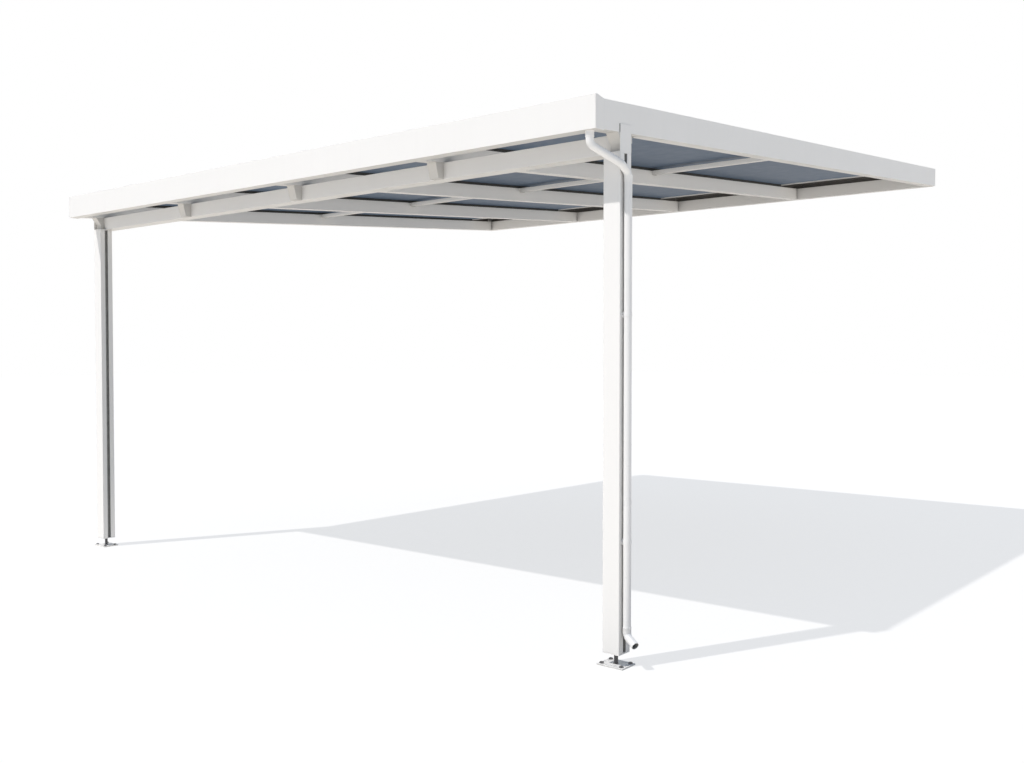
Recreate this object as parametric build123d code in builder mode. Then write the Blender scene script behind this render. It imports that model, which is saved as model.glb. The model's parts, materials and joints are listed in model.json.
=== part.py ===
from build123d import *
from math import cos, radians, sin, tan
import os

# Lean-to patio cover: two posts, a girder, sloping rafters, smoky glazing panels,
# a front gutter with a downpipe, and a wall plate that is screwed to the house.
#
# Frame: X runs along the front, +Y points at the house, +Z is up.
# The origin is the centre of the wall plate's back face.

# Driving sizes of the whole cover
cover_width = 5080.0        # over the two side fascias
cover_depth = 5130.0        # from the wall to the front face of the gutter
roof_angle = 4.13           # fall towards the gutter, degrees
eaves_height = 2647.0       # ground to the underside of the gutter
bay_count = 4
profile_wall = 3.0          # wall of the hollow roof profiles

# Wall plate
wall_plate_height = 150.0   # back flange, bottom to top
wall_plate_box = 100.0      # height of the hollow box in front of it
wall_plate_depth = 50.0
wall_screw_radius = 5.5
wall_screw_end_inset = 276.0 # end of the wall plate to the first screw
wall_screw_count = 6
wall_screw_height = 18.0    # above the top of the box

# Rafters and side fascias
rafter_width = 70.0
rafter_height = 100.0
rafter_rib = 10.0           # upright rib between two panels
rafter_end_gap = 14.0       # open joint in front of the wall plate
end_rafter_width = 52.0
fascia_seam = 4.0           # open seam between a side fascia and its end rafter
fascia_width = 14.0
fascia_height = 147.0
fascia_lip = 34.0           # ledge over the panel's outer edge
fascia_lip_thickness = 5.0
connector_width = 30.0      # tongue inside the open joint at a rafter's rear end
connector_height = 86.0

# Purlins
purlin_height = 30.0
purlin_depth = 50.0
purlin_from_front = 2514.0  # gutter front to the purlin's front face

# Glazing
gasket_width = 20.0
gasket_height = 20.0
gasket_setback = 2.0        # gasket in from the rafter's face
panel_thickness = 16.0
panel_edge_gap = 3.0        # panel edge to the rafter's rib
cap_width = 60.0
cap_thickness = 6.0
cap_chamfer = 3.0
closer_thickness = 15.0     # strip across the rear end of a panel
closer_drop = 9.0           # below the panel
flashing_reach = 390.0      # wall face to the rear end of the panels
flashing_lap = 70.0         # flashing over the panels
flashing_thickness = 3.0

# Gutter
gutter_height = 165.0
gutter_depth = 71.0
gutter_lip = 16.0
gutter_end_thickness = 4.0
drip_reach = 36.0           # panel's front edge over the gutter

# Girder and its brackets
girder_setback = 255.0      # gutter front to the girder's front face
girder_height = 95.0        # at the front face
girder_depth = 90.0
girder_end_inset = 30.0
bracket_nose_reach = 66.0   # bracket in front of the girder, at its top
bracket_foot_reach = 43.0   # and at its foot
bracket_foot_height = 5.0
end_bracket_foot_reach = 26.0
end_bracket_foot_height = 34.0

# Posts and feet
post_size = 100.0
post_setback = 207.0        # gutter front to the post's front face
post_wall = 3.0
post_corner = 3.0
groove_width = 25.0
groove_depth = 18.0
post_cap = 6.0              # plate that closes each end of a post
side_plate_thickness = 3.0
side_plate_lap = 42.0       # side plate over the side fascia
base_width = 155.0
base_depth = 120.0
base_thickness = 8.0
base_hole_radius = 7.0
base_hole_edge_depth = 18.0 # edge of the base plate to a hole's centre
stud_radius = 11.0
stud_length = 57.0          # base plate to the underside of the post

# Downpipe, at the right post
pipe_radius = 20.0
pipe_wall = 2.0
pipe_bend = 40.0            # radius of its centre line
pipe_standoff = 3.0         # side of the post to the pipe
pipe_from_front = 244.0     # gutter front to the pipe's axis
outlet_inset = 60.0         # side of the cover to the outlet's axis
outlet_flange = 1.5
outlet_length = 29.0
neck_start = 62.0           # gutter underside to the swan neck's upper corner
neck_turn = 147.0           # and to the corner beside the post
neck_turn_lead = 59.0       # that corner in front of the pipe's axis
neck_return = 185.0         # and to the lower corner
neck_end = 209.0            # and to the joint below it
shoe_joint_height = 192.0   # above the ground
shoe_corner_height = 162.0
shoe_throw_width = 65.0     # corner to the mouth, away from the post
shoe_throw_depth = 24.0     # and towards the front
shoe_mouth_height = 128.0
saddle_width = 24.0
saddle_height = 30.0
saddle_depth = 9.0
saddle_levels = (620.0, 1750.0)

# Places and levels that follow from the sizes above
slope = tan(radians(roof_angle))
uphill = (0, cos(radians(roof_angle)), sin(radians(roof_angle)))
half_width = cover_width / 2
front_y = -cover_depth
plate_front = -wall_plate_depth
plate_bottom = -wall_plate_height / 2
box_top = plate_bottom + wall_plate_box
flange_top = plate_bottom + wall_plate_height
plate_half = half_width - fascia_width
rafter_end = plate_front - rafter_end_gap
gutter_back = front_y + gutter_depth
girder_front = front_y + girder_setback
girder_back = girder_front + girder_depth
purlin_front = front_y + purlin_from_front
panel_front = gutter_back - drip_reach
panel_back = -flashing_reach
flashing_front = panel_back - flashing_lap
panel_under = rafter_height + gasket_height
panel_over = panel_under + panel_thickness
post_front = front_y + post_setback
post_back = post_front + post_size
post_y = (post_front + post_back) / 2
post_side = half_width + side_plate_thickness
post_x = post_side - post_size / 2
base_hole_width = base_width - 2 * base_hole_edge_depth
base_hole_depth = base_depth - 2 * base_hole_edge_depth
wall_screw_spacing = 2 * (plate_half - wall_screw_end_inset) / (wall_screw_count - 1)
bay = cover_width / bay_count
rafter_xs = [bay * number - half_width for number in range(1, bay_count)]
end_rafter_face = plate_half - fascia_seam - end_rafter_width


def level(y, rise=0.0):
    """Height of a line along the roof, at a rise square to the members' underside."""
    return plate_bottom + (y - plate_front) * slope + rise / cos(radians(roof_angle))


def roof_section(y):
    """Plane across a rafter, facing down the roof, with its origin on the underside."""
    origin = (0, y, level(y))
    return Plane(origin=origin, x_dir=(1, 0, 0), z_dir=(0, -uphill[1], -uphill[2]))


def slope_length(front, back):
    """Length along the roof between two distances from the wall."""
    return (back - front) / cos(radians(roof_angle))


gutter_bottom = level(front_y)
ground = gutter_bottom - eaves_height
girder_top = level(girder_front)
girder_bottom = girder_top - girder_height
post_bottom = ground + base_thickness + stud_length

# Edges of the members beside each bay, from the left
bay_faces = [-end_rafter_face]
panel_edges = [panel_edge_gap - plate_half]
for x in rafter_xs:
    bay_faces += [x - rafter_width / 2, x + rafter_width / 2]
    rib_side = rafter_rib / 2 + panel_edge_gap
    panel_edges += [x - rib_side, x + rib_side]
bay_faces.append(end_rafter_face)
panel_edges.append(plate_half - panel_edge_gap)

os.makedirs("parts", exist_ok=True)


def save(part, name):
    part.label = name
    export_step(part, f"parts/{name}.step")


# Wall plate: a hollow box, with a back flange that stands up behind the flashing
with BuildPart() as wall_plate:
    with BuildSketch(Plane.YZ.offset(-plate_half)):
        with BuildLine():
            Polyline(
                (0, plate_bottom),
                (0, flange_top),
                (-profile_wall, flange_top),
                (-profile_wall, box_top),
                (plate_front, box_top),
                (plate_front, plate_bottom),
                close=True,
            )
        make_face()
        with Locations((plate_front / 2, (plate_bottom + box_top) / 2)):
            Rectangle(
                wall_plate_depth - 2 * profile_wall,
                wall_plate_box - 2 * profile_wall,
                mode=Mode.SUBTRACT,
            )
    extrude(amount=2 * plate_half)
    with Locations(Plane.XZ.offset(profile_wall)):
        with Locations((0, box_top + wall_screw_height)):
            with GridLocations(wall_screw_spacing, 1, wall_screw_count, 1):
                Hole(wall_screw_radius, depth=profile_wall)
save(wall_plate.part, "wall_plate")


def box_section(centre_x, width, height):
    """Section of a hollow profile that stands on the roof's underside."""
    with Locations((centre_x, height / 2)):
        Rectangle(width, height)
        Rectangle(width - 2 * profile_wall, height - 2 * profile_wall, mode=Mode.SUBTRACT)


def cut_plumb(front, back):
    """Cuts the member that is being made upright at its front and its back."""
    split(bisect_by=Plane.XZ.offset(-front), keep=Keep.BOTTOM)
    split(bisect_by=Plane.XZ.offset(-back), keep=Keep.TOP)


# Rafters: a hollow box with an upright rib, cut plumb at both ends
for number, x in enumerate(rafter_xs, start=1):
    with BuildPart() as rafter:
        with BuildSketch(roof_section(front_y)):
            box_section(x, rafter_width, rafter_height)
            with Locations((x, (rafter_height + panel_over) / 2)):
                Rectangle(rafter_rib, panel_over - rafter_height)
        extrude(amount=-slope_length(front_y, 0))
        cut_plumb(gutter_back, rafter_end)
    save(rafter.part, f"rafter_{number}")

for side, sign in (("left", -1), ("right", 1)):
    # End rafter: the plain box beside the side fascia
    with BuildPart() as end_rafter:
        with BuildSketch(roof_section(front_y)):
            box_section(
                sign * (end_rafter_face + end_rafter_width / 2), end_rafter_width, rafter_height
            )
        extrude(amount=-slope_length(front_y, 0))
        cut_plumb(gutter_back, rafter_end)
    save(end_rafter.part, f"end_rafter_{side}")

    # Side fascia: the tall outer board, with a ledge over the panel's edge
    ledge_x = sign * (plate_half - fascia_lip / 2)
    with BuildPart() as side_fascia:
        with BuildSketch(roof_section(front_y)):
            with Locations((ledge_x, panel_over + fascia_lip_thickness / 2)):
                Rectangle(fascia_lip, fascia_lip_thickness)
        extrude(amount=-slope_length(front_y, 0))
        cut_plumb(gutter_back, -profile_wall)
        with BuildSketch(roof_section(front_y)):
            box_section(sign * (half_width - fascia_width / 2), fascia_width, fascia_height)
        extrude(amount=-slope_length(front_y, fascia_height))
        cut_plumb(gutter_back, 0)
    save(side_fascia.part, f"side_fascia_{side}")

# Rafter connectors: tongues set back inside the open joints at the wall plate
connector_xs = [-(end_rafter_face + end_rafter_width / 2)]
connector_xs += rafter_xs
connector_xs.append(end_rafter_face + end_rafter_width / 2)
with BuildPart() as rafter_connectors:
    with BuildSketch(Plane.XZ.offset(-plate_front)):
        with Locations(*[(x, (plate_bottom + box_top) / 2) for x in connector_xs]):
            Rectangle(connector_width, connector_height)
    extrude(amount=rafter_end_gap)
save(rafter_connectors.part, "rafter_connectors")

# Glazing gaskets: dark strips on the rafters, which carry the panels
gasket_offset = gasket_setback + gasket_width / 2
gasket_xs = []
for left_face, right_face in zip(bay_faces[::2], bay_faces[1::2]):
    gasket_xs += [left_face - gasket_offset, right_face + gasket_offset]
with BuildPart() as glazing_gaskets:
    with BuildSketch(roof_section(panel_back)):
        with Locations(*[(x, rafter_height + gasket_height / 2) for x in gasket_xs]):
            Rectangle(gasket_width, gasket_height)
    extrude(amount=slope_length(front_y, panel_back))
    split(bisect_by=Plane.XZ.offset(-gutter_back), keep=Keep.BOTTOM)
save(glazing_gaskets.part, "glazing_gaskets")

for number in range(1, bay_count + 1):
    left_face, right_face = bay_faces[2 * number - 2:2 * number]
    left_edge, right_edge = panel_edges[2 * number - 2:2 * number]

    # Purlin: between two rafters, flush with the tops of their boxes
    with BuildPart() as purlin:
        purlin_start = (left_face, purlin_front, level(purlin_front))
        with BuildSketch(Plane(origin=purlin_start, x_dir=uphill, z_dir=(1, 0, 0))):
            with Locations((purlin_depth / 2, rafter_height - purlin_height / 2)):
                Rectangle(purlin_depth, purlin_height)
                Rectangle(
                    purlin_depth - 2 * profile_wall,
                    purlin_height - 2 * profile_wall,
                    mode=Mode.SUBTRACT,
                )
        extrude(amount=right_face - left_face)
    save(purlin.part, f"purlin_{number}")

    # Panel: rests on the gaskets and on the gutter's back wall
    with BuildPart() as panel:
        with BuildSketch(roof_section(panel_front)):
            with Locations(((left_edge + right_edge) / 2, panel_under + panel_thickness / 2)):
                Rectangle(right_edge - left_edge, panel_thickness)
        extrude(amount=-slope_length(panel_front, panel_back))
    save(panel.part, f"panel_{number}")

# Panel closers: pale strips across the rear ends of the panels
closer_height = panel_thickness + closer_drop
with BuildPart() as panel_closers:
    with BuildSketch(roof_section(panel_back)):
        for left_edge, right_edge in zip(panel_edges[::2], panel_edges[1::2]):
            with Locations(((left_edge + right_edge) / 2, panel_over - closer_height / 2)):
                Rectangle(right_edge - left_edge, closer_height)
    extrude(amount=-closer_thickness)
save(panel_closers.part, "panel_closers")

# Glazing caps: bevelled strips over the joints between the panels
with BuildPart() as glazing_caps:
    with BuildSketch(roof_section(panel_front)) as cap_sections:
        with Locations(*[(x, panel_over + cap_thickness / 2) for x in rafter_xs]):
            Rectangle(cap_width, cap_thickness)
        chamfer(cap_sections.vertices().group_by(Axis.Y)[-1], length=cap_chamfer)
    extrude(amount=-slope_length(panel_front, flashing_front))
save(glazing_caps.part, "glazing_caps")

# Wall flashing: laps over the panels and turns up in front of the back flange
flashing_half = plate_half - fascia_lip
upstand_y = -profile_wall
with BuildPart() as wall_flashing:
    with BuildSketch(Plane.YZ.offset(-flashing_half)):
        with BuildLine():
            Polyline(
                (flashing_front, level(flashing_front, panel_over)),
                (upstand_y, level(upstand_y, panel_over)),
                (upstand_y, flange_top),
                (upstand_y - flashing_thickness, flange_top),
                (
                    upstand_y - flashing_thickness,
                    level(upstand_y - flashing_thickness, panel_over + flashing_thickness),
                ),
                (flashing_front, level(flashing_front, panel_over + flashing_thickness)),
                close=True,
            )
        make_face()
    extrude(amount=2 * flashing_half)
save(wall_flashing.part, "wall_flashing")

# Gutter: an open trough, whose tall front is the eaves board
gutter_half = half_width - gutter_end_thickness
outlet_x = half_width - outlet_inset
outlet_y = (front_y + gutter_back) / 2
trough_back = gutter_back - profile_wall
trough_front = front_y + profile_wall
gutter_top = gutter_bottom + gutter_height
with BuildPart() as gutter:
    with BuildSketch(Plane.YZ.offset(-gutter_half)):
        with BuildLine():
            Polyline(
                (front_y, gutter_bottom),
                (gutter_back, gutter_bottom),
                (gutter_back, level(trough_back, panel_under)),
                (trough_back, level(trough_back, panel_under)),
                (trough_back, gutter_bottom + profile_wall),
                (trough_front, gutter_bottom + profile_wall),
                (trough_front, gutter_top - profile_wall),
                (front_y + gutter_lip, gutter_top - profile_wall),
                (front_y + gutter_lip, gutter_top),
                (front_y, gutter_top),
                close=True,
            )
        make_face()
    extrude(amount=2 * gutter_half)
    with Locations((outlet_x, outlet_y, gutter_bottom + profile_wall)):
        Hole(pipe_radius - pipe_wall, depth=profile_wall)
save(gutter.part, "gutter")

for side, start_x in (("left", -half_width), ("right", gutter_half)):
    # Gutter end: a plate whose top falls back to the side fascia
    with BuildPart() as gutter_end:
        with BuildSketch(Plane.YZ.offset(start_x)):
            with BuildLine():
                Polyline(
                    (front_y, gutter_bottom),
                    (gutter_back, gutter_bottom),
                    (gutter_back, level(gutter_back, fascia_height)),
                    (front_y + gutter_lip, gutter_top),
                    (front_y, gutter_top),
                    close=True,
                )
            make_face()
        extrude(amount=gutter_end_thickness)
    save(gutter_end.part, f"gutter_end_{side}")

# Girder: a hollow beam whose top follows the roof, so that the rafters sit flat on it
girder_half = half_width - girder_end_inset
with BuildPart() as girder:
    with BuildSketch(Plane.YZ.offset(-girder_half)):
        with BuildLine():
            Polyline(
                (girder_front, girder_bottom),
                (girder_back, girder_bottom),
                (girder_back, level(girder_back)),
                (girder_front, girder_top),
                close=True,
            )
        make_face()
        with Locations(((girder_front + girder_back) / 2, (girder_bottom + girder_top) / 2)):
            Rectangle(
                girder_depth - 2 * profile_wall,
                girder_height - 2 * profile_wall,
                mode=Mode.SUBTRACT,
            )
    extrude(amount=2 * girder_half)
save(girder.part, "girder")

# Girder brackets: corbels under the rafters, against the girder's front face
end_bracket_x = half_width - rafter_width / 2
bracket_xs = [-end_bracket_x] + rafter_xs + [end_bracket_x]
nose_y = girder_front - bracket_nose_reach
for number, x in enumerate(bracket_xs, start=1):
    foot_y = girder_front - bracket_foot_reach
    foot_height = bracket_foot_height
    if abs(x) == end_bracket_x:
        foot_y = girder_front - end_bracket_foot_reach
        foot_height = end_bracket_foot_height
    with BuildPart() as bracket:
        with BuildSketch(Plane.YZ.offset(x - rafter_width / 2)):
            with BuildLine():
                Polyline(
                    (girder_front, girder_bottom),
                    (girder_front, girder_top),
                    (nose_y, level(nose_y)),
                    (foot_y, girder_bottom + foot_height),
                    (foot_y, girder_bottom),
                    close=True,
                )
            make_face()
        extrude(amount=rafter_width)
    save(bracket.part, f"girder_bracket_{number}")

for side, sign in (("left", -1), ("right", 1)):
    x = sign * post_x

    # Post: a square tube with a groove down each side face
    tube_bottom = post_bottom + post_cap
    with BuildPart() as post:
        with BuildSketch(Plane.XY.offset(tube_bottom)):
            with Locations((x, post_y)):
                RectangleRounded(post_size, post_size, post_corner)
                Rectangle(
                    post_size - 2 * post_wall,
                    post_size - 2 * post_wall,
                    mode=Mode.SUBTRACT,
                )
                with GridLocations(post_size - groove_depth - post_wall, 0, 2, 1):
                    Rectangle(groove_depth + post_wall, groove_width + 2 * post_wall)
                with GridLocations(post_size - groove_depth, 0, 2, 1):
                    Rectangle(groove_depth, groove_width, mode=Mode.SUBTRACT)
        extrude(amount=girder_bottom - post_cap - tube_bottom)
    save(post.part, f"post_{side}")

    # Post caps: the plates that close the tube at its foot and its head
    with BuildPart() as post_caps:
        for cap_bottom in (post_bottom, girder_bottom - post_cap):
            with BuildSketch(Plane.XY.offset(cap_bottom)):
                with Locations((x, post_y)):
                    RectangleRounded(post_size, post_size, post_corner)
            extrude(amount=post_cap)
    save(post_caps.part, f"post_caps_{side}")

    # Side plate: stands on the post and laps over the bracket and the side fascia
    plate_start = half_width if sign > 0 else -post_side
    with BuildPart() as side_plate:
        with BuildSketch(Plane.YZ.offset(plate_start)):
            with BuildLine():
                Polyline(
                    (post_front, girder_bottom),
                    (post_back, girder_bottom),
                    (post_back, level(post_back, side_plate_lap)),
                    (post_front, level(post_front, side_plate_lap)),
                    close=True,
                )
            make_face()
        extrude(amount=side_plate_thickness)
    save(side_plate.part, f"side_plate_{side}")

    # Base plate: bolted to the footing
    with BuildPart() as base_plate:
        with BuildSketch(Plane.XY.offset(ground)):
            with Locations((x, post_y)):
                Rectangle(base_width, base_depth)
                with GridLocations(base_hole_width, base_hole_depth, 2, 2):
                    Circle(base_hole_radius, mode=Mode.SUBTRACT)
        extrude(amount=base_thickness)
    save(base_plate.part, f"base_plate_{side}")

# Foot studs: carry the posts above their base plates
with BuildPart() as foot_studs:
    with BuildSketch(Plane.XY.offset(ground + base_thickness)):
        with Locations((-post_x, post_y), (post_x, post_y)):
            Circle(stud_radius)
    extrude(amount=stud_length)
save(foot_studs.part, "foot_studs")

# Outlet: a collar under the gutter
pipe_x = post_side + pipe_standoff + pipe_radius
pipe_y = front_y + pipe_from_front
with BuildPart() as outlet:
    with BuildSketch(Plane.XY.offset(gutter_bottom - outlet_length)):
        with Locations((outlet_x, outlet_y)):
            Circle(pipe_radius + outlet_flange)
            Circle(pipe_radius - pipe_wall, mode=Mode.SUBTRACT)
    extrude(amount=outlet_length)
save(outlet.part, "outlet")


def pipe_along(route, name):
    """A thin round pipe whose centre line is straight runs joined by round bends."""
    with BuildPart() as pipe:
        with BuildLine() as centre_line:
            FilletPolyline(*route, radius=pipe_bend)
        with BuildSketch(centre_line.line ^ 0):
            Circle(pipe_radius)
            Circle(pipe_radius - pipe_wall, mode=Mode.SUBTRACT)
        sweep()
    save(pipe.part, name)


# Swan neck: from the outlet, out past the bracket and onto the side of the post
pipe_along(
    [
        (outlet_x, outlet_y, gutter_bottom - outlet_length),
        (outlet_x, outlet_y, gutter_bottom - neck_start),
        (pipe_x, pipe_y - neck_turn_lead, gutter_bottom - neck_turn),
        (pipe_x, pipe_y, gutter_bottom - neck_return),
        (pipe_x, pipe_y, gutter_bottom - neck_end),
    ],
    "swan_neck",
)

# Downpipe: the straight run down the side of the right post
with BuildPart() as downpipe:
    with BuildSketch(Plane.XY.offset(ground + shoe_joint_height)):
        with Locations((pipe_x, pipe_y)):
            Circle(pipe_radius)
            Circle(pipe_radius - pipe_wall, mode=Mode.SUBTRACT)
    extrude(amount=eaves_height - neck_end - shoe_joint_height)
save(downpipe.part, "downpipe")

# Shoe: throws the water clear of the post's foot
pipe_along(
    [
        (pipe_x, pipe_y, ground + shoe_joint_height),
        (pipe_x, pipe_y, ground + shoe_corner_height),
        (pipe_x + shoe_throw_width, pipe_y - shoe_throw_depth, ground + shoe_mouth_height),
    ],
    "downpipe_shoe",
)

# Pipe saddles: hold the downpipe off the post
with BuildPart() as pipe_saddles:
    for height in saddle_levels:
        with BuildSketch(Plane.XY.offset(ground + height)):
            with Locations((post_side + saddle_depth / 2, pipe_y)):
                Rectangle(saddle_depth, saddle_width)
            with Locations((pipe_x, pipe_y)):
                Circle(pipe_radius, mode=Mode.SUBTRACT)
        extrude(amount=saddle_height)
save(pipe_saddles.part, "pipe_saddles")
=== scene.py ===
import json
from math import cos, pi, radians, sin, tan

import bmesh
import bpy
from mathutils import Matrix, Vector


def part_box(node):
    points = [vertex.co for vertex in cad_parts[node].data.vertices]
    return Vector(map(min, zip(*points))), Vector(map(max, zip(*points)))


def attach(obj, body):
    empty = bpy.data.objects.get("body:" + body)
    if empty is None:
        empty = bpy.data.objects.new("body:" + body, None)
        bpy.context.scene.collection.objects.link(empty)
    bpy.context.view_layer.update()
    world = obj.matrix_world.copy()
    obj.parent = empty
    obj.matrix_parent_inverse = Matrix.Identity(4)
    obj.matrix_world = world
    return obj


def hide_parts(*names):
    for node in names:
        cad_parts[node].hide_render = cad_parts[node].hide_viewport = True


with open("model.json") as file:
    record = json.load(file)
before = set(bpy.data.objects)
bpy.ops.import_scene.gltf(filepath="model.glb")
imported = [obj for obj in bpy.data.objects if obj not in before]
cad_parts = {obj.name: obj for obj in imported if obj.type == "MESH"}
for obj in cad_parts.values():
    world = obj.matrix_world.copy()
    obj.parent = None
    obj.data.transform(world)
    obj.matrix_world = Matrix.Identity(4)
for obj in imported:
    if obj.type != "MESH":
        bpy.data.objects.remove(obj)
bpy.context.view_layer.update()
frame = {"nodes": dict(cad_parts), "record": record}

# Sizes that the pieces here share with the frame, in metres
roof_angle = radians(4.13)
slope = tan(roof_angle)
plate_low, plate_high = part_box("wall_plate")
gutter_low, gutter_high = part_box("gutter")
girder_low, girder_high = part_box("girder")
post_low, post_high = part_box("post_right")
base_low, base_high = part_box("base_plate_right")
pipe_low, pipe_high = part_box("downpipe")
saddle_low, saddle_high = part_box("pipe_saddles")
half_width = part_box("side_fascia_right")[1].x
panel_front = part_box("panel_4")[0].y
post_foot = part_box("post_caps_right")[0].z
post_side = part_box("side_plate_right")[1].x
plate_front = plate_low.y
plate_bottom = plate_low.z
plate_half = plate_high.x
front_y = gutter_low.y
gutter_back = gutter_high.y
gutter_bottom = gutter_low.z
ground = base_low.z
base_top = base_high.z
post_x = (post_low.x + post_high.x) / 2
post_y = (post_low.y + post_high.y) / 2
post_front = post_low.y
girder_front = girder_low.y
girder_back = girder_high.y
girder_bottom = girder_low.z
pipe_x = (pipe_low.x + pipe_high.x) / 2
pipe_y = (pipe_low.y + pipe_high.y) / 2
outlet_x = half_width - 0.060
outlet_y = (front_y + gutter_back) / 2
bay_count = 4
bay = 2 * half_width / bay_count
rafter_xs = [-bay, 0.0, bay]
end_rafter_x = plate_half - 0.030
all_rafter_xs = [-end_rafter_x, *rafter_xs, end_rafter_x]
panel_under = 0.120
panel_over = 0.136
cap_top = 0.142
both_ways = (-1, 1)


def level(y, rise=0.0):
    """Height of a line along the roof, at a rise square to the rafters' underside."""
    return plate_bottom + (y - plate_front) * slope + rise / cos(roof_angle)


def run_length(front, back):
    """Length along the roof between two distances from the wall."""
    return (back - front) / cos(roof_angle)


def spaced(start, end, pitch):
    """Even steps from start to end, at about the pitch."""
    count = max(1, round((end - start) / pitch))
    return [start + (end - start) * k / count for k in range(count + 1)]


# Places
def on_roof(x, y, rise):
    """Place on the roof, with its Z axis square to the roof."""
    spot = Matrix.Translation((x, y, level(y, rise)))
    return spot @ Matrix.Rotation(roof_angle, 4, "X")


def facing(spot, axis):
    """Place at a spot, with its Z axis along the axis given."""
    return Matrix.Translation(spot) @ Vector(axis).to_track_quat("Z", "Y").to_matrix().to_4x4()


def axes(x_axis, y_axis, z_axis):
    """Turn that points the three axes of a place the ways given."""
    return Matrix((x_axis, y_axis, z_axis)).transposed().to_4x4()


# Turns of an outline's plane: extruded across the roof's width, or up the roof
sideways = axes((0, 1, 0), (0, 0, 1), (1, 0, 0))
uphill = axes((-1, 0, 0), (0, 0, 1), (0, 1, 0))


# Material nodes
def add_node(tree, kind, inputs=None, **settings):
    """Adds a shader node. An input is a number, a colour or another node's socket."""
    node = tree.nodes.new("ShaderNode" + kind)
    for key, value in settings.items():
        setattr(node, key, value)
    for key, value in (inputs or {}).items():
        if isinstance(value, bpy.types.NodeSocket):
            tree.links.new(value, node.inputs[key])
        else:
            node.inputs[key].default_value = value
    return node


def calc(tree, operation, *values):
    """The result of a Math node."""
    return add_node(tree, "Math", dict(enumerate(values)), operation=operation).outputs[0]


def times(tree, first, second):
    return calc(tree, "MULTIPLY", first, second)


def noise(tree, scale, detail=2.0, stretch=(1.0, 1.0, 1.0)):
    """Noise in the object's own metres, stretched along its axes."""
    coordinates = add_node(tree, "TexCoord").outputs["Object"]
    mapped = add_node(tree, "Mapping", {"Vector": coordinates, "Scale": stretch}).outputs[0]
    keys = {"Vector": mapped, "Scale": scale, "Detail": detail}
    return add_node(tree, "TexNoise", keys).outputs[0]


def span(tree, value, start, end, low=0.0, high=1.0):
    """Maps a value from start..end to low..high, held at the ends."""
    keys = {"Value": value, "From Min": start, "From Max": end, "To Min": low, "To Max": high}
    return add_node(tree, "MapRange", keys).outputs[0]


def blend_colour(tree, share, first, second):
    keys = {0: share, 6: first, 7: second}
    return add_node(tree, "Mix", keys, data_type="RGBA").outputs[2]


def bump(tree, height, strength, distance, below=None):
    keys = {"Height": height, "Strength": strength, "Distance": distance}
    if below is not None:
        keys["Normal"] = below
    return add_node(tree, "Bump", keys).outputs[0]


def rgba(colour, share=1.0):
    """A colour for a socket, darkened or lightened by a share."""
    return (*(share * value for value in colour), 1.0)


def facing_up(tree):
    """The upward share of the surface's normal."""
    normal = add_node(tree, "NewGeometry").outputs["Normal"]
    return add_node(tree, "SeparateXYZ", {0: normal}).outputs["Z"]


def new_material(name):
    material = bpy.data.materials.new(name)
    material.use_nodes = True
    return material, material.node_tree, material.node_tree.nodes["Principled BSDF"]


def connect(tree, surface, colour, roughness, normal):
    """Feeds a surface its colour, roughness and bump."""
    tree.links.new(colour, surface.inputs["Base Color"])
    tree.links.new(roughness, surface.inputs["Roughness"])
    tree.links.new(normal, surface.inputs["Normal"])


# Materials
def coated_metal(name, colour, roughness, dust):
    """Powder coating: orange peel, faint patches and streaks, dust on top, painted shade in
    hollows and on undersides.
    """
    material, tree, surface = new_material(name)
    patches = span(tree, noise(tree, 1.7, 3.0), 0.35, 0.7, 0.0, 0.3)
    shade = blend_colour(tree, patches, rgba(colour), rgba(colour, 0.955))
    up = facing_up(tree)
    upright = span(tree, calc(tree, "ABSOLUTE", up), 0.5, 0.2)
    streaks = span(tree, noise(tree, 1.0, 3.0, (22.0, 22.0, 0.9)), 0.52, 0.75, 0.0, 0.03)
    shade = blend_colour(tree, times(tree, streaks, upright), shade, rgba(dust, 0.9))
    specks = span(tree, noise(tree, 60.0, 4.0), 0.45, 0.75, 0.02, 0.12)
    lying = times(tree, span(tree, up, 0.5, 0.95), specks)
    shade = blend_colour(tree, lying, shade, rgba(dust))
    # Painted shade: darker where ambient occlusion finds corners and hollows, less so on tops
    openness = add_node(tree, "AmbientOcclusion", {"Distance": 0.09}, samples=6).outputs["AO"]
    patchy = span(tree, noise(tree, 9.0, 3.0), 0.3, 0.7, 0.50, 0.65)
    corner_shade = times(tree, span(tree, openness, 0.80, 0.20), patchy)
    corner_shade = times(tree, corner_shade, span(tree, up, 0.3, 0.9, 1.0, 0.12))
    # Painted shade: darker on undersides, in patches
    patchy = span(tree, noise(tree, 4.0, 3.0), 0.3, 0.7, 0.46, 0.58)
    underside_shade = times(tree, span(tree, up, -0.5, -0.9), patchy)
    painted_shade = calc(tree, "MAXIMUM", corner_shade, underside_shade)
    # Painted shade in corners, hollows and on undersides, blended towards the dust colour at 0.55
    shade = blend_colour(tree, painted_shade, shade, rgba(dust, 0.55))
    sheen = span(tree, noise(tree, 6.0, 4.0), 0.3, 0.7, roughness - 0.05, roughness + 0.08)
    peel = bump(tree, noise(tree, 650.0, 2.0), 0.10, 0.0004)
    rolled = bump(tree, noise(tree, 3.0, 1.0), 0.12, 0.002, peel)
    connect(tree, surface, shade, sheen, rolled)
    return material


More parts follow.
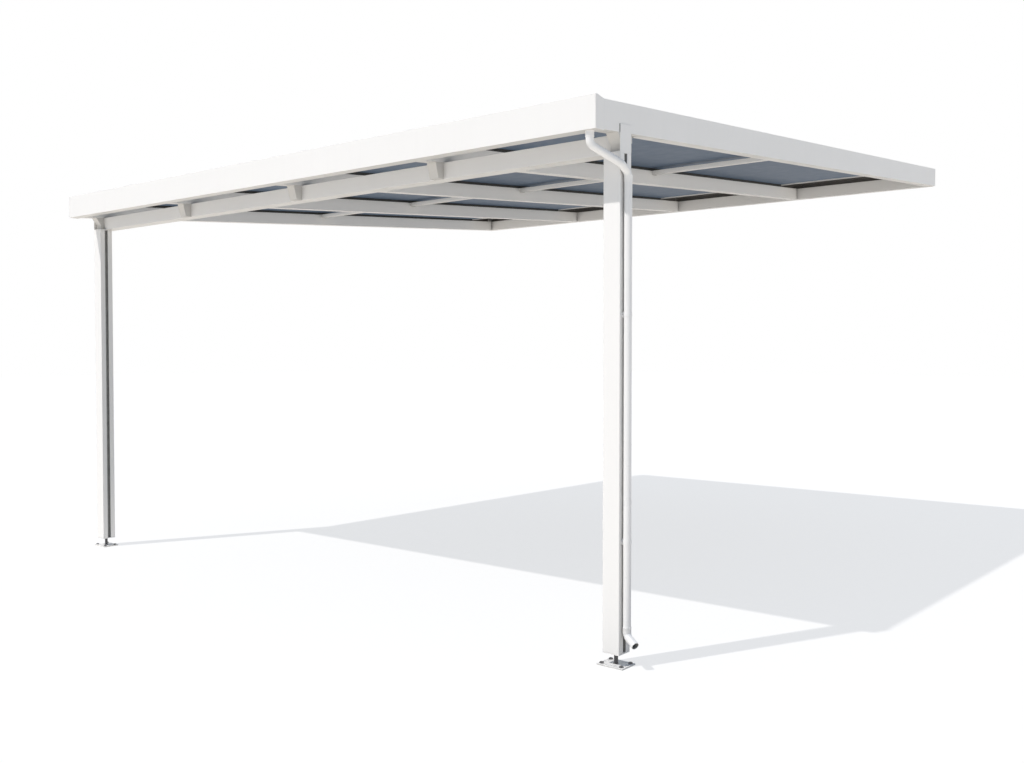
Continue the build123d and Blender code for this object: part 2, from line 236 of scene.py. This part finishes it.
def glazing(name, colour, pitch):
    """Hollow sheet: webs at a close pitch along the fall, a soft gloss, and dust on its top."""
    material, tree, surface = new_material(name)
    surface.inputs["Specular IOR Level"].default_value = 0.12
    coordinates = add_node(tree, "TexCoord").outputs["Object"]
    across = add_node(tree, "SeparateXYZ", {0: coordinates}).outputs["X"]
    wave = calc(tree, "SINE", times(tree, across, pi / pitch))
    line = span(tree, calc(tree, "ABSOLUTE", wave), 0.25, 0.0)
    shade = blend_colour(tree, times(tree, line, 0.10), rgba(colour), rgba(colour, 0.45))
    cloudy = span(tree, noise(tree, 0.7, 2.0), 0.35, 0.7, 0.0, 0.3)
    shade = blend_colour(tree, cloudy, shade, rgba(colour, 1.08))
    specks = span(tree, noise(tree, 110.0, 5.0), 0.42, 0.8, 0.10, 0.28)
    lying = times(tree, span(tree, facing_up(tree), 0.5, 0.95), specks)
    shade = blend_colour(tree, lying, shade, rgba((0.42, 0.42, 0.40)))
    gloss = span(tree, noise(tree, 12.0, 4.0), 0.3, 0.7, 0.50, 0.58)
    sunk = bump(tree, line, 0.25, 0.0004)
    drawn = bump(tree, noise(tree, 1.0, 2.0, (60.0, 2.0, 60.0)), 0.05, 0.001, sunk)
    connect(tree, surface, shade, gloss, drawn)
    return material


def rubber(name, colour):
    """Matt rubber or sealant: paler clouds, a fine grain and long ribs."""
    material, tree, surface = new_material(name)
    cloudy = span(tree, noise(tree, 25.0, 4.0), 0.3, 0.75, 0.0, 0.6)
    shade = blend_colour(tree, cloudy, rgba(colour), rgba(colour, 1.5))
    matt = span(tree, noise(tree, 40.0), 0.3, 0.7, 0.6, 0.8)
    ribs = bump(tree, noise(tree, 1.0, 2.0, (500.0, 4.0, 500.0)), 0.3, 0.0006)
    grain = bump(tree, noise(tree, 900.0), 0.1, 0.0002, ribs)
    connect(tree, surface, shade, matt, grain)
    return material


def steel(name, colour, roughness, rust):
    """Dull steel: turned lines, darker patches and a few brown stains."""
    material, tree, surface = new_material(name)
    surface.inputs["Metallic"].default_value = 0.85
    dull = span(tree, noise(tree, 90.0, 4.0), 0.35, 0.7, 0.0, 0.7)
    shade = blend_colour(tree, dull, rgba(colour), rgba(colour, 0.62))
    stained = span(tree, noise(tree, 35.0, 5.0), 0.58, 0.8, 0.0, rust)
    shade = blend_colour(tree, stained, shade, rgba((0.16, 0.09, 0.05)))
    rough = span(tree, noise(tree, 120.0, 3.0), 0.3, 0.7, roughness - 0.08, roughness + 0.12)
    lines = bump(tree, noise(tree, 1.0, 2.0, (60.0, 60.0, 2500.0)), 0.15, 0.0002)
    connect(tree, surface, shade, rough, lines)
    return material


def moulded_plastic(name, colour):
    """Drawn plastic pipe: long faint draw lines, a soft gloss and a little dust."""
    material, tree, surface = new_material(name)
    cloudy = span(tree, noise(tree, 2.0, 3.0), 0.35, 0.7, 0.0, 0.6)
    shade = blend_colour(tree, cloudy, rgba(colour), rgba(colour, 0.955))
    streak = span(tree, noise(tree, 1.0, 3.0, (45.0, 45.0, 1.1)), 0.52, 0.78, 0.0, 0.06)
    shade = blend_colour(tree, streak, shade, rgba((0.60, 0.58, 0.54)))
    gloss = span(tree, noise(tree, 9.0, 3.0), 0.3, 0.7, 0.26, 0.36)
    drawn = bump(tree, noise(tree, 1.0, 2.0, (420.0, 420.0, 3.0)), 0.08, 0.0005)
    connect(tree, surface, shade, gloss, drawn)
    return material


web_pitch = 0.016
white = coated_metal("white_coating", (0.86, 0.855, 0.845), 0.40, (0.66, 0.64, 0.60))
# A darker copy of the white coating for the girder brackets: painted shade, for the shade their
# fronts sit in below the gutter
shaded_bracket = coated_metal("shaded_bracket_coating", (0.64, 0.63, 0.61), 0.50, (0.60, 0.58, 0.54))
# Dark coating: on the wall flashing its darkness is painted shade, for the shade beneath the
# flashing; the wall seal and the rear seals share it
dark = coated_metal("dark_flashing", (0.13, 0.124, 0.12), 0.48, (0.24, 0.23, 0.21))
smoky = glazing("smoky_panel", (0.102, 0.144, 0.210), web_pitch)
black = rubber("gasket", (0.028, 0.029, 0.028))
putty = rubber("sealant", (0.34, 0.34, 0.33))
# Grey rubber: painted shade in the post grooves, and partly dirt, partly painted shade in the
# shoe's mouth
shade_rubber = rubber("painted_shade_rubber", (0.25, 0.25, 0.245))
dull_steel = steel("stud_steel", (0.22, 0.22, 0.23), 0.42, 0.35)
bright_steel = steel("screw_steel", (0.52, 0.52, 0.51), 0.34, 0.08)
plastic = moulded_plastic("white_pipe", (0.86, 0.86, 0.86))
slot_materials = {
    "white_coating": white,
    "smoky_panel": smoky,
    "gasket": black,
    "dark_flashing": dark,
    "stud_steel": dull_steel,
    "white_pipe": plastic,
}


# Mesh building
def add_shape(bm, points, faces, place):
    verts = [bm.verts.new(place @ Vector(p)) for p in points]
    for face in faces:
        bm.faces.new([verts[i] for i in face])


def add_turned(bm, profile, place, sides=24, loop=False):
    """Turns a profile of radii and heights about the place's Z axis. A loop makes an open ring."""
    points, rings = [], []
    for radius, height in profile:
        count = sides if radius > 0 else 1
        rings.append([len(points) + k for k in range(count)])
        for k in range(count):
            angle = 2 * pi * k / sides
            points.append((radius * cos(angle), radius * sin(angle), height))
    faces = []
    following = rings[1:] + rings[:1] if loop else rings[1:]
    for lower, upper in zip(rings, following):
        for k in range(sides):
            n = (k + 1) % sides
            corners = [lower[k % len(lower)], lower[n % len(lower)]]
            corners += [upper[n % len(upper)], upper[k % len(upper)]]
            faces.append(list(dict.fromkeys(corners)))
    add_shape(bm, points, faces, place)


def add_extruded(bm, outline, place, length):
    """Extrudes an outline in the place's XY plane along its Z axis."""
    count = len(outline)
    points = [(x, y, 0.0) for x, y in outline] + [(x, y, length) for x, y in outline]
    faces = [tuple(range(count))[::-1], tuple(range(count, 2 * count))]
    for k in range(count):
        n = (k + 1) % count
        faces.append((k, n, count + n, count + k))
    add_shape(bm, points, faces, place)


def add_block(bm, low, high):
    outline = [(low[0], low[1]), (high[0], low[1]), (high[0], high[1]), (low[0], high[1])]
    add_extruded(bm, outline, Matrix.Translation((0, 0, low[2])), high[2] - low[2])


def bar(width, height):
    """Outline of a bar that stands on its origin."""
    return [(-width / 2, 0.0), (width / 2, 0.0), (width / 2, height), (-width / 2, height)]


def soften(piece, width):
    """Rounds a piece's sharp edges."""
    rounding = piece.modifiers.new("rounding", "BEVEL")
    rounding.width = width
    rounding.segments = 2
    rounding.limit_method = "ANGLE"
    rounding.angle_limit = radians(40)
    rounding.harden_normals = True


def add_piece(name, bm, material, edge=0.0):
    """Makes a finished piece of a mesh, with softened edges where edge is given."""
    bmesh.ops.recalc_face_normals(bm, faces=bm.faces)
    mesh = bpy.data.meshes.new(name)
    bm.to_mesh(mesh)
    bm.free()
    for face in mesh.polygons:
        face.use_smooth = True
    mesh.set_sharp_from_angle(angle=radians(32))
    mesh.materials.append(material)
    piece = bpy.data.objects.new(name, mesh)
    bpy.context.scene.collection.objects.link(piece)
    if edge:
        soften(piece, edge)
    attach(piece, "root")
    return piece


# Fasteners: hexagon heads as width over flats, height, washer radius and washer height
wall_screw = (0.013, 0.0065, 0.011, 0.0020)
lap_screw = (0.008, 0.0045, 0.0080, 0.0020)
cap_screw = (0.008, 0.0045, 0.0068, 0.0010)
angle_screw = (0.008, 0.0050, 0.0075, 0.0015)
anchor_nut = (0.019, 0.0055, 0.0115, 0.0020)

# Fasteners: button heads as radius and height
stay_rivet = (0.0040, 0.0022)
gutter_screw = (0.0060, 0.0035)
flange_rivet = (0.0028, 0.0015)
strap_screw = (0.0035, 0.0022)


def add_hex_screw(bm, place, across, height, washer_radius, washer_height):
    """Hexagon head on a washer that stands on the place."""
    washer = [(0, 0), (washer_radius, 0), (washer_radius, washer_height), (0, washer_height)]
    add_turned(bm, washer, place)
    corner = across / 2 / cos(pi / 6)
    bevelled = across / 2 * 0.96
    head = [(0, 0), (corner, 0), (corner, height * 0.84), (bevelled, height), (0, height)]
    add_turned(bm, head, place @ Matrix.Translation((0, 0, washer_height)), sides=6)


def add_button_screw(bm, place, radius, height):
    """Low round head with a round socket."""
    socket = radius * 0.42
    profile = [(0, 0), (radius, 0), (radius * 0.97, height * 0.35)]
    profile += [(radius * 0.80, height * 0.80), (radius * 0.55, height), (socket, height)]
    profile += [(socket * 0.96, height * 0.35), (0, height * 0.30)]
    add_turned(bm, profile, place)


def thread(radius, start, end, pitch):
    """Profile of a threaded rod."""
    root = radius * 0.90
    profile = [(0, start), (root, start)]
    for k in range(int((end - start) / pitch)):
        profile.append((root, start + (k + 0.15) * pitch))
        profile.append((radius, start + (k + 0.5) * pitch))
        profile.append((root, start + (k + 0.85) * pitch))
    return profile + [(root, end), (0, end)]


# Carried-over CAD nodes: materials and softened edges
subpart_slots = {row["node"]: row["material_slot"] for row in frame["record"]["subparts"]}
edge_widths = {"white_coating": 0.0011, "dark_flashing": 0.0005, "stud_steel": 0.0006}
for name, node in frame["nodes"].items():
    slot_name = subpart_slots[name]
    # The girder brackets take the darker copy of the white coating, which is painted shade
    material = shaded_bracket if name.startswith("girder_bracket") else slot_materials[slot_name]
    node.data.materials.clear()
    node.data.materials.append(material)
    if slot_name in edge_widths:
        joined = node.modifiers.new("joined", "WELD")
        joined.merge_threshold = 0.00002
        soften(node, edge_widths[slot_name])
        node.modifiers.new("normals", "WEIGHTED_NORMAL")

# Wall screws, through a dark seal on the wall plate's back flange
flange_face = -0.003
seal_face = flange_face - 0.0012
seal_half = plate_half - 0.002
seal_bottom = plate_bottom + 0.1005
seal_top = plate_bottom + 0.139
bm = bmesh.new()
add_block(bm, (-seal_half, seal_face, seal_bottom), (seal_half, flange_face, seal_top))
add_piece("wall_seal", bm, dark)

wall_screw_count = 6
wall_screw_pitch = 0.900
wall_screw_level = plate_bottom + 0.118
bm = bmesh.new()
for number in range(wall_screw_count):
    x = (number - (wall_screw_count - 1) / 2) * wall_screw_pitch
    add_hex_screw(bm, facing((x, seal_face, wall_screw_level), (0, -1, 0)), *wall_screw)
add_piece("wall_screws", bm, dull_steel)

# Wall flashing: sealant in its upper corner, and lap screws into the glazing
flashing_half = plate_half - 0.034
flashing_top = panel_over + 0.003
upstand = flange_face - 0.003
bead = 0.005
bead_outline = [(0.0, 0.0), (-bead, 0.0), (-0.62 * bead, 0.38 * bead)]
bead_outline += [(-0.2 * bead, 0.8 * bead), (0.0, bead)]
bm = bmesh.new()
corner = Matrix.Translation((-flashing_half, upstand, level(upstand, flashing_top)))
add_extruded(bm, bead_outline, corner @ sideways, 2 * flashing_half)
add_piece("flashing_sealant", bm, putty)

roof_screw_pitch = 0.30
lap_screw_y = -0.442
lap_screw_reach = flashing_half - 0.09
cap_clearance = 0.05
bm = bmesh.new()
for x in spaced(-lap_screw_reach, lap_screw_reach, roof_screw_pitch):
    if min(abs(x - rafter_x) for rafter_x in rafter_xs) > cap_clearance:
        add_hex_screw(bm, on_roof(x, lap_screw_y, flashing_top), *lap_screw)
add_piece("flashing_screws", bm, bright_steel)

# Glazing caps and side ledges: screws with sealing washers, and black lips along the edges
cap_back = -0.460
ledge_x = plate_half - 0.017
ledge_top = panel_over + 0.005
screw_lines = [(x, cap_top, panel_front) for x in rafter_xs]
screw_lines += [(x, ledge_top, gutter_back) for x in (-ledge_x, ledge_x)]
washer_height = 0.002
washer = [(0, 0), (0.0080, 0), (0.0072, washer_height), (0, washer_height)]
from_front, from_back = 0.06, 0.05
bm = bmesh.new()
washers = bmesh.new()
for x, rise, front in screw_lines:
    for y in spaced(front + from_front, cap_back - from_back, roof_screw_pitch):
        add_turned(washers, washer, on_roof(x, y, rise), sides=16)
        add_hex_screw(bm, on_roof(x, y, rise + washer_height), *cap_screw)
add_piece("cap_screws", bm, bright_steel)
add_piece("cap_washers", washers, black)

cap_edge = 0.0308
ledge_edge = plate_half - 0.0348
lips = [(x + side * cap_edge, panel_front) for x in rafter_xs for side in both_ways]
lips += [(side * ledge_edge, gutter_back) for side in both_ways]
lip_outline = bar(0.0016, 0.0014)
bm = bmesh.new()
for x, front in lips:
    place = on_roof(x, front, panel_over) @ uphill
    add_extruded(bm, lip_outline, place, run_length(front, cap_back))
add_piece("cap_lips", bm, black)

# Panel nosings: folded strips that close the panels' front edges
joint_half = 0.0325
nosing_reach = plate_half - 0.036
nosing_ends = [-nosing_reach]
for x in rafter_xs:
    nosing_ends += [x - joint_half, x + joint_half]
nosing_ends.append(nosing_reach)
fold, lap, foot = 0.0012, 0.020, 0.014
nosing_drop = 0.0184
nosing = [(lap, 0.0), (-fold, 0.0), (-fold, -nosing_drop), (foot, -nosing_drop)]
nosing += [(foot, fold - nosing_drop), (0.0, fold - nosing_drop), (0.0, -fold), (lap, -fold)]
bm = bmesh.new()
for left, right in zip(nosing_ends[::2], nosing_ends[1::2]):
    place = on_roof(left, panel_front, panel_over + fold) @ sideways
    add_extruded(bm, nosing, place, right - left)
add_piece("panel_nosings", bm, white)

# Purlin joints: black collars at the purlins' ends, painted shade standing in for the open joints
# between the purlins and the rafters
purlin_front = front_y + 2.514
purlin_under = 0.070
purlin_depth = 0.050
collar_length = 0.008
collar_height = 0.0302
proud, sunk = 0.0006, 0.0003
outer, inner = purlin_depth + proud, purlin_depth - sunk
collar = [(-proud, collar_height), (-proud, -proud), (outer, -proud), (outer, collar_height)]
collar += [(inner, collar_height), (inner, sunk), (sunk, sunk), (sunk, collar_height)]
bm = bmesh.new()
for number in range(1, bay_count + 1):
    low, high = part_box(f"purlin_{number}")
    for start in (low.x, high.x - collar_length):
        place = on_roof(start, purlin_front, purlin_under) @ sideways
        add_extruded(bm, collar, place, collar_length)
add_piece("purlin_shade_collars", bm, black)

# Rear seals: dark strips on the ribs and the fascias, behind the panels
rib_half = 0.005
strip_width = 0.0014
strip_under = 0.1005
strip_front, strip_back = -0.374, -0.066
strips = [x + side * (rib_half + strip_width / 2) for x in rafter_xs for side in both_ways]
strips += [side * (plate_half - strip_width / 2) for side in both_ways]
strip_outline = bar(strip_width, 0.035)
bm = bmesh.new()
for x in strips:
    place = on_roof(x, strip_front, strip_under) @ uphill
    add_extruded(bm, strip_outline, place, run_length(strip_front, strip_back))
add_piece("rear_seals", bm, dark)

# Gutter: stays across the trough, screws into the rafters, a flange at the outlet, sealed ends
gutter_wall = 0.003
trough_front = front_y + gutter_wall
trough_back = gutter_back - gutter_wall
trough_floor = gutter_bottom + gutter_wall
stay_below_panel = 0.015
stay_top = level(trough_back, panel_under) - stay_below_panel
stay_reach, stay_pitch = 2.40, 0.60
stay_width, stay_drop, stay_sheet = 0.025, 0.020, 0.0025
stay_front, stay_back = trough_front + stay_sheet, trough_back - stay_sheet
stay = [(trough_front, 0.0), (trough_back, 0.0), (trough_back, -stay_drop)]
stay += [(stay_back, -stay_drop), (stay_back, -stay_sheet), (stay_front, -stay_sheet)]
stay += [(stay_front, -stay_drop), (trough_front, -stay_drop)]
stay_rivet_drop = 0.011
bm = bmesh.new()
rivets = bmesh.new()
for x in spaced(-stay_reach, stay_reach, stay_pitch):
    start = Matrix.Translation((x - stay_width / 2, 0.0, stay_top))
    add_extruded(bm, stay, start @ sideways, stay_width)
    for y, way in ((stay_front, 1), (stay_back, -1)):
        spot = (x, y, stay_top - stay_rivet_drop)
        add_button_screw(rivets, facing(spot, (0, way, 0)), *stay_rivet)
gutter_screw_side = 0.016
gutter_screw_level = level(trough_back, 0.050)
for x in all_rafter_xs:
    for way in both_ways:
        spot = (x + way * gutter_screw_side, trough_back, gutter_screw_level)
        add_button_screw(rivets, facing(spot, (0, -1, 0)), *gutter_screw)
add_piece("gutter_stays", bm, white, edge=0.0005)

flange_bore, flange_edge, flange_height = 0.0182, 0.030, 0.0018
flange = [(flange_bore, 0.0), (flange_edge, 0.0), (flange_edge, 0.0012)]
flange += [(flange_edge - 0.0008, flange_height), (flange_bore, flange_height)]
rivet_circle = 0.0245
bm = bmesh.new()
place = Matrix.Translation((outlet_x, outlet_y, trough_floor))
add_turned(bm, flange, place, sides=48, loop=True)
for quarter in range(4):
    turn = quarter * pi / 2 + pi / 4
    x = outlet_x + rivet_circle * cos(turn)
    y = outlet_y + rivet_circle * sin(turn)
    place = Matrix.Translation((x, y, trough_floor + flange_height))
    add_button_screw(rivets, place, *flange_rivet)
add_piece("outlet_flange", bm, plastic)
add_piece("gutter_rivets", rivets, bright_steel)

gutter_end = 0.004
fillet = [(0.0, 0.0), (0.006, 0.0), (0.0022, 0.0022), (0.0, 0.006)]
bm = bmesh.new()
for side in both_ways:
    end_x = side * (half_width - gutter_end)
    turned = axes((-side, 0, 0), (0, 0, 1), (0, 1, 0))
    place = Matrix.Translation((end_x, trough_front, trough_floor)) @ turned
    add_extruded(bm, fillet, place, trough_back - trough_front)
    for y, way in ((trough_front, 1), (trough_back, -1)):
        turned = axes((-side, 0, 0), (0, way, 0), (0, 0, 1))
        place = Matrix.Translation((end_x, y, trough_floor)) @ turned
        add_extruded(bm, fillet, place, stay_top - trough_floor)
add_piece("gutter_sealant", bm, putty)

# Girder: plates over its open ends, and screwed angles that tie the rafters to its back
end_plate = 0.0025
end_outline = [(girder_front, girder_bottom), (girder_back, girder_bottom)]
end_outline += [(girder_back, level(girder_back)), (girder_front, level(girder_front))]
bm = bmesh.new()
for start in (girder_low.x - end_plate, girder_high.x):
    add_extruded(bm, end_outline, Matrix.Translation((start, 0, 0)) @ sideways, end_plate)
add_piece("girder_end_plates", bm, white, edge=0.0006)

leg, thick, angle_width = 0.042, 0.004, 0.048
angle_top = level(girder_back)
leg_top = level(girder_back + leg)
angle = [(0.0, angle_top - leg), (0.0, angle_top), (leg, leg_top), (leg, leg_top - thick)]
angle += [(thick, level(girder_back + thick) - thick), (thick, angle_top - leg)]
angle_screw_side = 0.012
screw_drop = 0.026
screw_reach = 0.028
under_roof = (0, sin(roof_angle), -cos(roof_angle))
bm = bmesh.new()
screws = bmesh.new()
for x in all_rafter_xs:
    start = Matrix.Translation((x - angle_width / 2, girder_back, 0))
    add_extruded(bm, angle, start @ sideways, angle_width)
    for way in both_ways:
        screw_x = x + way * angle_screw_side
        spot = (screw_x, girder_back + thick, angle_top - screw_drop)
        add_hex_screw(screws, facing(spot, (0, 1, 0)), *angle_screw)
        y = girder_back + screw_reach
        spot = (screw_x, y, level(y) - thick)
        add_hex_screw(screws, facing(spot, under_roof), *angle_screw)
add_piece("rafter_angles", bm, white, edge=0.0006)
add_piece("rafter_angle_screws", screws, bright_steel)

# Posts: grey liners in the grooves, painted shade that darkens them
half_post = (post_high.x - post_low.x) / 2
liner_mouth, liner_floor, liner_wall, half_groove = 0.0008, 0.0180, 0.0018, 0.01245
inner_floor, inner_half = liner_floor - liner_wall, half_groove - liner_wall
liner_outline = [(liner_mouth, -half_groove), (liner_floor, -half_groove)]
liner_outline += [(liner_floor, half_groove), (liner_mouth, half_groove)]
liner_outline += [(liner_mouth, inner_half), (inner_floor, inner_half)]
liner_outline += [(inner_floor, -inner_half), (liner_mouth, -inner_half)]
for side, sign in (("left", -1), ("right", 1)):
    bm = bmesh.new()
    for way in both_ways:
        turned = axes((-way, 0, 0), (0, 1, 0), (0, 0, 1))
        mouth_x = sign * post_x + way * half_post
        place = Matrix.Translation((mouth_x, post_y, post_low.z)) @ turned
        add_extruded(bm, liner_outline, place, post_high.z - post_low.z)
    add_piece(f"groove_shade_inserts_{side}", bm, shade_rubber)

# Side plates: a black strip along the front edge of each, painted shade for the gap between plate
# and fascia
edge_shade = 0.0022
edge_shade_inset = 0.0004
side_plate_rise = 0.042
edge_shade_bottom = level(post_front)
edge_shade_top = level(post_front, side_plate_rise) - 0.0005
bm = bmesh.new()
for side in both_ways:
    left, right = sorted((side * half_width, side * (post_side - edge_shade_inset)))
    low = (left, post_front - edge_shade, edge_shade_bottom)
    add_block(bm, low, (right, post_front, edge_shade_top))
add_piece("side_plate_shade_strips", bm, black)

# Feet: anchor bolts with nuts and washers, and threaded studs with a weld at their foot
bolt_x, bolt_y = 0.0595, 0.042
nut_turn_x, nut_turn_y = 0.4, 0.9  # each nut is turned its own way
bolt = thread(radius=0.006, start=-0.008, end=0.0085, pitch=0.00175)
bm = bmesh.new()
for side in both_ways:
    for x_way in both_ways:
        for y_way in both_ways:
            spot = (side * post_x + x_way * bolt_x, post_y + y_way * bolt_y, base_top)
            turned = Matrix.Rotation(nut_turn_x * x_way + nut_turn_y * y_way, 4, "Z")
            place = Matrix.Translation(spot) @ turned
            add_hex_screw(bm, place, *anchor_nut)
            add_turned(bm, bolt, place, sides=20)
add_piece("anchor_bolts", bm, dull_steel, edge=0.0003)

stud = thread(radius=0.011, start=base_top, end=post_foot, pitch=0.0025)
weld = [(0.0098, 0.0), (0.0150, 0.0), (0.0142, 0.0012), (0.0118, 0.0030), (0.0098, 0.0036)]
bm = bmesh.new()
for side in both_ways:
    place = Matrix.Translation((side * post_x, post_y, 0.0))
    add_turned(bm, stud, place, sides=32)
    place = Matrix.Translation((side * post_x, post_y, base_top))
    add_turned(bm, weld, place, sides=32, loop=True)
threaded_studs = add_piece("threaded_studs", bm, dull_steel)
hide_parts("foot_studs")

# Downpipe: sleeves at its joints, a ring round the outlet, and a grey lining in the shoe's mouth,
# partly dirt and partly painted shade
sleeve = [(0.0201, -0.017), (0.0212, -0.017), (0.0216, -0.015), (0.0216, 0.011), (0.0222, 0.012)]
sleeve += [(0.0222, 0.0155), (0.0214, 0.0165), (0.0201, 0.0165)]
bm = bmesh.new()
for joint in (pipe_low.z, pipe_high.z):
    place = Matrix.Translation((pipe_x, pipe_y, joint))
    add_turned(bm, sleeve, place, sides=48, loop=True)
outlet_ring = [(0.0205, 0.0), (0.0224, 0.0006), (0.0228, 0.0020), (0.0224, 0.0040)]
outlet_ring += [(0.0205, 0.0046)]
ring_level = gutter_bottom - 0.0290
place = Matrix.Translation((outlet_x, outlet_y, ring_level))
add_turned(bm, outlet_ring, place, sides=48, loop=True)
add_piece("pipe_sleeves", bm, plastic)

throw = Vector((0.065, -0.024, -0.034))
shoe_bend = Vector((pipe_x, pipe_y, ground + 0.162))
# Grey lining in the shoe's mouth: partly dirt, partly painted shade for its dark inside
lining = [(0.0179, -0.048), (0.0179, -0.0015), (0.0174, -0.0015), (0.0174, -0.048)]
bm = bmesh.new()
add_turned(bm, lining, facing(shoe_bend + throw, throw), sides=48, loop=True)
add_piece("shoe_shade_lining", bm, shade_rubber)

# Pipe straps: a band round the pipe at each saddle, with two screwed ears
saddle_half = 0.015
band_half = 0.009
ear_near, ear_far, ear_screw = 0.012, 0.025, 0.0195
ear_face = post_side + 0.0035
band = [(0.0201, -band_half), (0.0212, -band_half), (0.0216, -0.0085), (0.0216, 0.0085)]
band += [(0.0212, band_half), (0.0201, band_half)]
bm = bmesh.new()
screws = bmesh.new()
for middle in (saddle_low.z + saddle_half, saddle_high.z - saddle_half):
    place = Matrix.Translation((pipe_x, pipe_y, middle))
    add_turned(bm, band, place, sides=48, loop=True)
    for way in both_ways:
        front, back = sorted((pipe_y + way * ear_near, pipe_y + way * ear_far))
        low = (post_side, front, middle - band_half)
        add_block(bm, low, (ear_face, back, middle + band_half))
        spot = (ear_face, pipe_y + way * ear_screw, middle)
        add_button_screw(screws, facing(spot, (1, 0, 0)), *strap_screw)
add_piece("pipe_straps", bm, plastic, edge=0.0005)
add_piece("strap_screws", screws, bright_steel)

# Camera at the photo's angle
photo_width = 1024
focal_pixels = 1012.85
sensor = 36.0
eye_height = 1.5792
look_down, heading = 1.528, 39.5
camera_data = bpy.data.cameras.new("camera")
camera_data.sensor_width = sensor
camera_data.lens = sensor * focal_pixels / photo_width
camera_data.shift_x = -0.0005
camera_data.shift_y = -0.0022
camera_data.clip_end = 200.0
camera = bpy.data.objects.new("camera", camera_data)
camera.location = (5.3201, -9.1252, ground + eye_height)
camera.rotation_euler = (radians(90 - look_down), 0.0, radians(heading))
bpy.context.scene.collection.objects.link(camera)
bpy.context.scene.camera = camera

# Sun
sun_way = Vector((96, 214, -340))
sun_data = bpy.data.lights.new("sun", "SUN")
sun_data.energy = 2.70
sun_data.angle = radians(0.8)
sun_data.color = (1.0, 0.96, 0.92)
sun = bpy.data.objects.new("sun", sun_data)
sun.rotation_euler = sun_way.to_track_quat("-Z", "Y").to_euler()
bpy.context.scene.collection.objects.link(sun)

# Sky: blue to the light, and plain white to the camera and in reflections
horizon = rgba((0.10, 0.18, 0.29))
zenith = rgba((0.32, 0.375, 0.46))
world = bpy.data.worlds.new("sky")
world.use_nodes = True
bpy.context.scene.world = world
sky = world.node_tree
sky.nodes.clear()
direction = add_node(sky, "TexCoord").outputs["Generated"]
height = add_node(sky, "SeparateXYZ", {0: direction}).outputs["Z"]
dome = blend_colour(sky, span(sky, height, 0.0, 0.8), horizon, zenith)
seen = add_node(sky, "LightPath")
plain = seen.outputs["Is Camera Ray"]
for kind in ("Is Glossy Ray", "Is Transmission Ray"):
    plain = calc(sky, "MAXIMUM", plain, seen.outputs[kind])
glow = add_node(sky, "Background", {"Color": dome, "Strength": 1.0}).outputs[0]
paper = add_node(sky, "Background", {"Color": (1, 1, 1, 1), "Strength": 1.0}).outputs[0]
chosen = add_node(sky, "MixShader", {0: plain, 1: glow, 2: paper}).outputs[0]
add_node(sky, "OutputWorld", {"Surface": chosen})

# Floor
floor_half, floor_depth, floor_gap = 60.0, 0.02, 0.0002
floor_bm = bmesh.new()
low = (-floor_half, -floor_half, ground - floor_depth)
add_block(floor_bm, low, (floor_half, floor_half, ground - floor_gap))
floor_mesh = bpy.data.meshes.new("floor")
floor_bm.to_mesh(floor_mesh)
floor_bm.free()
floor = bpy.data.objects.new("floor", floor_mesh)
bpy.context.scene.collection.objects.link(floor)
floor_material = bpy.data.materials.new("floor")
floor_material.use_nodes = True
stone = floor_material.node_tree
stone.nodes.clear()

# The floor to the light: warm pale ground that is bright outside the roof's shade
shade_middle = (0.9, -2.0, ground)
shade_half = (2.1, 2.6, 1.0)
ground_colour = rgba((0.42, 0.40, 0.37))
bounce_colour = rgba((1.0, 0.945, 0.87))
shade_edge = (1.0, 1.38)
bounce_strength = (0.08, 0.78)
offset = add_node(stone, "NewGeometry").outputs["Position"]
for operation, other in (("SUBTRACT", shade_middle), ("DIVIDE", shade_half)):
    offset = add_node(stone, "VectorMath", {0: offset, 1: other}, operation=operation).outputs[0]
offset = add_node(stone, "VectorMath", {0: offset}, operation="ABSOLUTE").outputs[0]
offsets = add_node(stone, "SeparateXYZ", {0: offset}).outputs
outside = calc(stone, "MAXIMUM", offsets["X"], offsets["Y"])
open_ground = span(stone, outside, *shade_edge, *bounce_strength)
diffuse = add_node(stone, "BsdfDiffuse", {"Color": ground_colour}).outputs[0]
bounce = add_node(stone, "Emission", {"Color": bounce_colour, "Strength": open_ground}).outputs[0]
lit = add_node(stone, "AddShader", {0: diffuse, 1: bounce}).outputs[0]

# The floor to the camera: white, with the object's shadow
veil = 0.64
glare_strength = 1.1
shown = add_node(stone, "BsdfDiffuse", {"Color": rgba((0.86, 0.86, 0.86))}).outputs[0]
keys = {"Color": rgba((1.0, 1.0, 1.0)), "Strength": glare_strength}
glare = add_node(stone, "Emission", keys).outputs[0]
veiled = add_node(stone, "MixShader", {0: veil, 1: shown, 2: glare}).outputs[0]
looked = add_node(stone, "LightPath").outputs["Is Camera Ray"]
ground_shader = add_node(stone, "MixShader", {0: looked, 1: lit, 2: veiled}).outputs[0]
add_node(stone, "OutputMaterial", {"Surface": ground_shader})
floor_mesh.materials.append(floor_material)

bpy.context.scene.view_settings.view_transform = "Standard"
